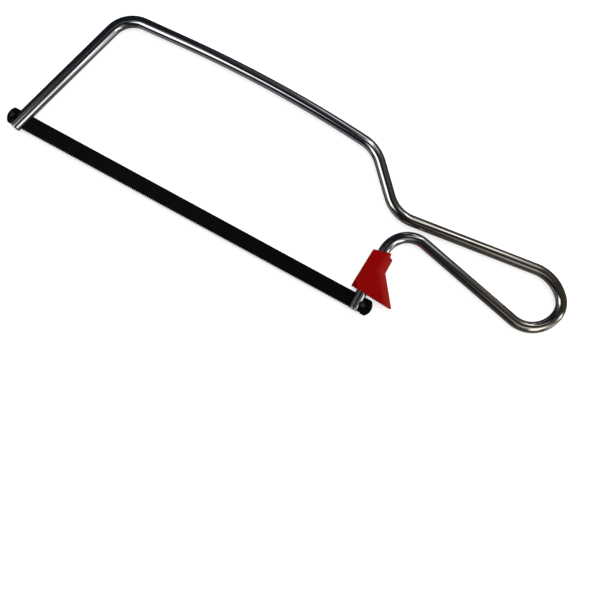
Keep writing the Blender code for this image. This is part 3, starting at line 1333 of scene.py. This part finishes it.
@dataclass
class FingerGuard:
    """The moulded guard: a bored block on the rear leg with a fin towards the handle, hollow below."""

    thickness: float = 8.0
    outline: tuple[Corner, ...] = (
        Corner(142.65, 4.4, 0.25),
        Corner(160.3, 3.45, 0.3),
        Corner(151.8, 14.35, 0.4),
        Corner(151.85, 19.95, 0.25),
        Corner(150.4, 20.65, 0.2),
        Corner(150.35, 22.05, 0.25),
        Corner(143.5, 20.4, 0.25),
    )
    soft_edge: Edge = Edge(0.22, 0.22)
    rolled_edge: Edge = Edge(1.6, 1.2)
    rolled_index: int = 2
    draft: float = 0.05
    seam: float = 0.05
    rim_steps: int = 6
    corner_steps: int = 6
    least_radius: float = 0.06
    leg_x: float = REAR_LEG
    bore: float = 4.8
    hollow_width: float = 4.0
    hollow: tuple[tuple[float, float], ...] = ((146.3, 2.0), (157.7, 2.0), (154.3, 7.6), (146.3, 7.6))
    blade_slot: float = 1.8
    scoop_radius: float = 2.0
    scoop_depth: float = 2.2
    overcut: float = 2.0
    sharp_over: float = 32.0
    finish: RedPlasticFinish = field(default_factory=RedPlasticFinish)

    def edges(self) -> list[Edge]:
        """The rounding of each edge, in the order of the corners that they leave."""
        return [
            self.rolled_edge if index == self.rolled_index else self.soft_edge
            for index in range(len(self.outline))
        ]

    def loop(self, insets: list[float], drops: list[float], level: float) -> list[Vector]:
        """One ring of points round the guard.

        Args:
            insets: How far each edge moves inwards.
            drops: How far below the level each edge lies.
            level: The height from the plane of the frame. It is below that plane where negative.

        Returns:
            Points in metres, the same number for each corner.
        """
        count = len(self.outline)
        ring = []
        for index, corner in enumerate(self.outline):
            before = self.outline[index - 1]
            after = self.outline[(index + 1) % count]
            point = Vector((corner.x, corner.y))
            into = (point - Vector((before.x, before.y))).normalized()
            out = (Vector((after.x, after.y)) - point).normalized()
            turn = math.atan2(into.cross(out), into.dot(out))
            near, far = insets[index - 1], insets[index]
            inward = Vector((-into.y, into.x))
            # The moved edges meet where the corner is at both of their insets.
            moved = point + inward * near + into * (near * math.cos(turn) - far) / math.sin(turn)
            shrink = (near + far) / 2
            radius = max(corner.radius - math.copysign(shrink, turn), self.least_radius)
            tangent = radius * math.tan(abs(turn) / 2)
            side = math.copysign(1.0, turn)
            first = moved - into * tangent
            centre = first + inward * side * radius
            for step in range(self.corner_steps + 1):
                share = step / self.corner_steps
                place = centre + Matrix.Rotation(turn * share, 2) @ (first - centre)
                drop = drops[index - 1] * (1 - share) + drops[index] * share
                height = level - math.copysign(drop, level)
                ring.append(at(place.x, place.y, height))
        return ring

    def rim(self, level: float) -> list[list[Vector]]:
        """Rings from the flat of one face over its rounded rim to the parting line.

        Args:
            level: The height of that face from the plane of the frame.

        Returns:
            Rings in metres.
        """
        edges = self.edges()
        rings = []
        for step in range(self.rim_steps + 1):
            angle = math.pi / 2 * step / self.rim_steps
            insets = [self.draft + edge.across * (1 - math.sin(angle)) for edge in edges]
            drops = [edge.down * (1 - math.cos(angle)) for edge in edges]
            rings.append(self.loop(insets, drops, level))
        # The side ends in a fine raised line where the two halves of the mould meet.
        none = [0.0] * len(edges)
        low = math.copysign(self.seam, level)
        rings.append(self.loop([self.seam] * len(edges), none, 2 * low))
        rings.append(self.loop(none, none, low / 2))
        return rings

    def block(self) -> bpy.types.Object:
        """The solid guard before it is bored and hollowed."""
        half = self.thickness / 2
        return ringed_solid("moulded_finger_guard", self.rim(half) + self.rim(-half)[::-1])

    def hollow_cutter(self) -> bpy.types.Object:
        """The hollow under the block, which lets it pass over the end of the blade."""
        half = self.hollow_width / 2
        return ringed_solid("guard_hollow", [[at(x, y, z) for x, y in self.hollow] for z in (half, -half)])

    def cutters(self) -> list[bpy.types.Object]:
        """The bore, the hollow, the blade's slot and the scooped corners."""
        top = max(corner.y for corner in self.outline)
        hollow_top = max(y for _, y in self.hollow)
        corner = self.outline[0]
        slot_length = self.leg_x - corner.x + self.overcut
        made = [
            round_cutter("guard_bore", at(self.leg_x, top / 2), self.bore, 2 * top, "Y"),
            self.hollow_cutter(),
            box_cutter(
                "guard_blade_slot",
                at(self.leg_x - slot_length / 2, hollow_top / 2),
                Vector((slot_length, hollow_top, self.blade_slot)),
            ),
        ]
        for name, level in (("upper_scoop", self.thickness / 2), ("lower_scoop", -self.thickness / 2)):
            middle = at(corner.x, corner.y, level)
            made.append(round_cutter(name, middle, 2 * self.scoop_radius, 2 * self.scoop_depth, "Z"))
        return made

    def build(self) -> bpy.types.Object:
        """Builds and dresses the guard."""
        guard = self.block()
        fin_tip, waist = self.outline[1:3]
        plastic = self.finish.make(at(waist.x, waist.y), at(fin_tip.x, fin_tip.y))
        guard.data.materials.append(plastic)
        carve(guard, self.cutters(), plastic)
        shade(guard, self.sharp_over)
        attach(guard, Body.GUARD.value)
        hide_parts("finger_guard")
        return guard


class Fade(Enum):
    """How far a light panel's edge fades, in degrees."""

    CRISP = 2.5
    PLAIN = 4.0
    SOFT = 8.0


@dataclass(frozen=True)
class LightPanel:
    """A light panel on the dome round the saw, which only polished and glossy surfaces show.

    Angles are in degrees: the azimuth from +X, the tilt from straight up, the panel's width and height as
    seen from the dome's middle, and how far it is rolled about its own axis.
    """

    azimuth: float
    tilt: float
    width: float
    height: float
    radiance: float
    roll: float = 0.0
    edge: Fade = Fade.PLAIN

    def axes(self) -> tuple[Vector, Vector, Vector]:
        """Unit vectors from the saw to the panel, along its width and along its height."""
        turn = Matrix.Identity(3)
        for angle, axis in ((self.azimuth, "Z"), (self.tilt, "Y"), (self.roll, "Z")):
            turn = turn @ Matrix.Rotation(math.radians(angle), 3, axis)
        return turn @ Vector((0, 0, 1)), turn @ Vector((0, 1, 0)), turn @ Vector((1, 0, 0))

    def add_to(self, tree: bpy.types.NodeTree, ray: bpy.types.NodeSocket) -> bpy.types.NodeSocket:
        """Adds the panel's light to the dome.

        Args:
            tree: The tree of the dome's material.
            ray: The direction from the dome's middle.

        Returns:
            The colour of the panel in that direction.
        """
        out, across, up = self.axes()
        ahead = add_node(
            tree, "ShaderNodeVectorMath", {"operation": "DOT_PRODUCT"}, {0: ray, 1: out}
        ).outputs["Value"]
        seen = add_node(tree, "ShaderNodeMath", {"operation": "GREATER_THAN"}, {0: ahead, 1: 0.0})
        amount = seen.outputs[0]
        fade = self.edge.value
        for axis, angle in ((across, self.width), (up, self.height)):
            aside = add_node(tree, "ShaderNodeVectorMath", {"operation": "DOT_PRODUCT"}, {0: ray, 1: axis})
            slope = add_node(
                tree, "ShaderNodeMath", {"operation": "DIVIDE"}, {0: aside.outputs["Value"], 1: ahead}
            )
            size = add_node(tree, "ShaderNodeMath", {"operation": "ABSOLUTE"}, {0: slope.outputs[0]})
            inside = add_node(
                tree,
                "ShaderNodeMapRange",
                {"interpolation_type": "SMOOTHSTEP"},
                {
                    "Value": size.outputs[0],
                    "From Min": math.tan(math.radians(max(angle / 2 - fade, 0.0))),
                    "From Max": math.tan(math.radians(angle / 2 + fade)),
                    "To Min": 1.0,
                    "To Max": 0.0,
                },
            )
            both = add_node(
                tree, "ShaderNodeMath", {"operation": "MULTIPLY"}, {0: amount, 1: inside.outputs["Result"]}
            )
            amount = both.outputs[0]
        light = Vector((self.radiance,) * 3)
        return add_node(
            tree, "ShaderNodeVectorMath", {"operation": "SCALE"}, {0: light, "Scale": amount}
        ).outputs["Vector"]


@dataclass
class Studio:
    """The plain pale floor, the lights and the camera over the flat-lying saw."""

    view_centre: tuple[float, float] = (128.35, -9.6)
    view_width: float = 226.2
    view_turn: float = math.radians(28.54)
    camera_height: float = 500.0
    sensor: float = 36.0
    floor_side: float = 6000.0
    floor_colour: str = "#F2F2F2"
    floor_glow: float = 0.62
    far_glow: float = 1.05
    far_from: float = 260.0
    far_to: float = 1100.0
    backdrop: str = "#FFFFFF"
    fill_colour: str = "#FFFFFF"
    fill: float = 0.35
    dome_middle: tuple[float, float] = (118.0, 15.0)
    dome_radius: float = 350.0
    dome_rings: int = 64
    room_dark: str = "#20242A"
    room_warm: str = "#443E3A"
    room_rim: str = "#4A4A49"
    # The room turns warm towards one side and has a pale rim low down on another. Each sets in between two
    # cosines of the angle to its side, and the rim fades upwards from its base to its top.
    warm_side: tuple[float, float, float] = (0.97, 0.1, 0.0)
    warm_from: float = -0.1
    warm_to: float = 0.65
    rim_side: tuple[float, float, float] = (0.3, -0.95, 0.0)
    rim_from: float = -0.6
    rim_to: float = 0.5
    rim_top: float = 0.5
    rim_base: float = -0.3
    key_place: tuple[float, float, float] = (170.0, 280.0, 760.0)
    key_side: float = 900.0
    key_radiance: float = 2.3

    def build_camera(self) -> None:
        """Adds the camera, straight over the saw and turned as in the photograph."""
        data = bpy.data.cameras.new("overhead_camera")
        data.sensor_width = self.sensor
        data.lens = self.sensor * self.camera_height / self.view_width
        camera = bpy.data.objects.new("overhead_camera", data)
        camera.location = at(*self.view_centre, self.camera_height)
        camera.rotation_euler = (0.0, 0.0, self.view_turn)
        bpy.context.scene.collection.objects.link(camera)
        bpy.context.scene.camera = camera

    def build_floor(self) -> None:
        """Adds the floor that the saw lies on. Far off it glows as pale as the backdrop."""
        work = bmesh.new()
        bmesh.ops.create_grid(work, x_segments=1, y_segments=1, size=self.floor_side * MM / 2)
        floor = mesh_object("studio_floor", work)
        material, tree, shader = new_material("pale_matt_floor")
        shader.inputs["Base Color"].default_value = srgb(self.floor_colour)
        shader.inputs["Roughness"].default_value = 1.0
        shader.inputs["Specular IOR Level"].default_value = 0.0
        shader.inputs["Emission Color"].default_value = srgb(self.floor_colour)
        place = add_node(tree, "ShaderNodeTexCoord").outputs["Object"]
        distance = add_node(tree, "ShaderNodeVectorMath", {"operation": "LENGTH"}, {0: place})
        glow = add_node(
            tree,
            "ShaderNodeMapRange",
            {"interpolation_type": "SMOOTHSTEP"},
            {
                "Value": distance.outputs["Value"],
                "From Min": self.far_from * MM,
                "From Max": self.far_to * MM,
                "To Min": self.floor_glow,
                "To Max": self.far_glow,
            },
        )
        tree.links.new(glow.outputs["Result"], shader.inputs["Emission Strength"])
        floor.data.materials.append(material)
        floor.visible_glossy = False

    def panels(self) -> list[LightPanel]:
        """The panels that the plated rod mirrors, by the side of the saw that they stand on.

        Those on the handle's side light both legs, those on the teeth's side the bends, the spine's broad
        streak and the loop, and those on the spine's side the handle and the fine line on the spine's rear.
        """
        handle_side = [
            LightPanel(azimuth=-18, tilt=46, width=5, height=35, radiance=1.3),
            LightPanel(azimuth=-32, tilt=60, width=14, height=30, radiance=1.8, roll=-20),
            LightPanel(azimuth=2, tilt=76, width=8, height=34, radiance=1.9),
            LightPanel(azimuth=-14, tilt=84, width=10, height=55, radiance=0.6, roll=10, edge=Fade.SOFT),
            LightPanel(azimuth=-32, tilt=40, width=30, height=34, radiance=0.4, roll=-30, edge=Fade.SOFT),
        ]
        teeth_side = [
            LightPanel(azimuth=-136, tilt=36, width=22, height=38, radiance=2.1, roll=5),
            LightPanel(azimuth=-145, tilt=25, width=4, height=66, radiance=0.25, roll=60),
            LightPanel(azimuth=-156, tilt=70, width=36, height=70, radiance=0.15, roll=25, edge=Fade.SOFT),
            LightPanel(azimuth=-110, tilt=110, width=30, height=40, radiance=0.2),
        ]
        spine_side = [
            LightPanel(azimuth=79, tilt=47, width=4, height=54, radiance=1.3, roll=-5, edge=Fade.CRISP),
            LightPanel(azimuth=74, tilt=55, width=16, height=24, radiance=0.6, edge=Fade.CRISP),
            LightPanel(azimuth=88, tilt=62, width=6, height=30, radiance=1.2, roll=30),
            LightPanel(azimuth=82, tilt=70, width=50, height=70, radiance=0.07, roll=10, edge=Fade.SOFT),
        ]
        return handle_side + teeth_side + spine_side

    def build_dome(self) -> None:
        """Adds the dome that only reflections see: a dark room with light panels, close round the saw."""
        work = bmesh.new()
        bmesh.ops.create_uvsphere(
            work, u_segments=2 * self.dome_rings, v_segments=self.dome_rings, radius=self.dome_radius * MM
        )
        dome = mesh_object("mirrored_room", work)
        dome.location = at(*self.dome_middle)
        material = bpy.data.materials.new("room_in_reflections")
        material.use_nodes = True
        # Reflections find the panels by their own rays, and matt surfaces see the plain fill instead.
        material.cycles.emission_sampling = "NONE"
        tree = material.node_tree
        tree.nodes.clear()
        place = add_node(tree, "ShaderNodeTexCoord").outputs["Object"]
        ray = add_node(
            tree, "ShaderNodeVectorMath", {"operation": "NORMALIZE"}, {0: place}
        ).outputs["Vector"]
        towards = add_node(
            tree, "ShaderNodeVectorMath", {"operation": "DOT_PRODUCT"}, {0: ray, 1: Vector(self.warm_side)}
        )
        warmth = add_node(
            tree,
            "ShaderNodeMapRange",
            {"interpolation_type": "SMOOTHSTEP"},
            {"Value": towards.outputs["Value"], "From Min": self.warm_from, "From Max": self.warm_to},
        )
        room = add_node(
            tree,
            "ShaderNodeMix",
            {"data_type": "RGBA"},
            {SHARE: warmth.outputs["Result"], FIRST: srgb(self.room_dark), SECOND: srgb(self.room_warm)},
        )
        rise = add_node(tree, "ShaderNodeSeparateXYZ", inputs={"Vector": ray})
        low = add_node(
            tree,
            "ShaderNodeMapRange",
            {"interpolation_type": "SMOOTHSTEP"},
            {"Value": rise.outputs["Z"], "From Min": self.rim_top, "From Max": self.rim_base},
        )
        beside = add_node(
            tree, "ShaderNodeVectorMath", {"operation": "DOT_PRODUCT"}, {0: ray, 1: Vector(self.rim_side)}
        )
        near = add_node(
            tree,
            "ShaderNodeMapRange",
            {"interpolation_type": "SMOOTHSTEP"},
            {
                "Value": beside.outputs["Value"],
                "From Min": self.rim_from,
                "From Max": self.rim_to,
                "To Max": low.outputs["Result"],
            },
        )
        rim = add_node(
            tree,
            "ShaderNodeVectorMath",
            {"operation": "SCALE"},
            {0: Vector(srgb(self.room_rim)[:3]), "Scale": near.outputs["Result"]},
        )
        mirrored = room.outputs[MIXED]
        for light in [rim.outputs["Vector"]] + [panel.add_to(tree, ray) for panel in self.panels()]:
            mirrored = add_node(
                tree, "ShaderNodeVectorMath", {"operation": "ADD"}, {0: mirrored, 1: light}
            ).outputs["Vector"]
        glow = add_node(tree, "ShaderNodeEmission", inputs={"Color": mirrored})
        add_node(tree, "ShaderNodeOutputMaterial", inputs={"Surface": glow.outputs[0]})
        dome.data.materials.append(material)
        dome.visible_camera = False
        dome.visible_diffuse = False
        dome.visible_shadow = False
        dome.visible_transmission = False

    def build_world(self) -> None:
        """Sets the surroundings: pale to the camera, with a soft fill for matt surfaces."""
        world = bpy.data.worlds.new("studio_surroundings")
        bpy.context.scene.world = world
        world.use_nodes = True
        tree = world.node_tree
        tree.nodes.clear()
        path = add_node(tree, "ShaderNodeLightPath")
        fill = add_node(
            tree,
            "ShaderNodeBackground",
            inputs={"Color": srgb(self.fill_colour), "Strength": self.fill},
        )
        pale = add_node(tree, "ShaderNodeBackground", inputs={"Color": srgb(self.backdrop)})
        seen = add_node(
            tree,
            "ShaderNodeMixShader",
            inputs={0: path.outputs["Is Camera Ray"], 1: fill.outputs[0], 2: pale.outputs[0]},
        )
        add_node(tree, "ShaderNodeOutputWorld", inputs={"Surface": seen.outputs[0]})

    def build_key(self) -> None:
        """Adds the large soft box over the saw, which lights the matt surfaces."""
        lamp = bpy.data.lights.new("overhead_soft_box", "AREA")
        lamp.size = self.key_side * MM
        lamp.energy = self.key_radiance * math.pi * lamp.size**2
        made = bpy.data.objects.new("overhead_soft_box", lamp)
        made.location = at(*self.key_place)
        back = at(*self.key_place) - at(*self.view_centre)
        made.rotation_euler = back.to_track_quat("Z", "Y").to_euler()
        made.visible_camera = False
        made.visible_glossy = False
        bpy.context.scene.collection.objects.link(made)

    def build(self) -> None:
        """Builds the whole stage."""
        bpy.context.scene.view_settings.view_transform = "Standard"
        self.build_camera()
        self.build_floor()
        self.build_dome()
        self.build_world()
        self.build_key()


def main() -> None:
    """Builds the stage and the pieces in order and reports each piece."""
    logging.basicConfig(level=logging.INFO, format="%(name)s: %(message)s")
    Studio().build()
    pieces = [FrameRod().build(), SawBlade().build(), *BladePins().build(), FingerGuard().build()]
    for piece in pieces:
        LOG.info("%s: %d faces", piece.name, len(piece.data.polygons))


if __name__ == "__main__":
    main()
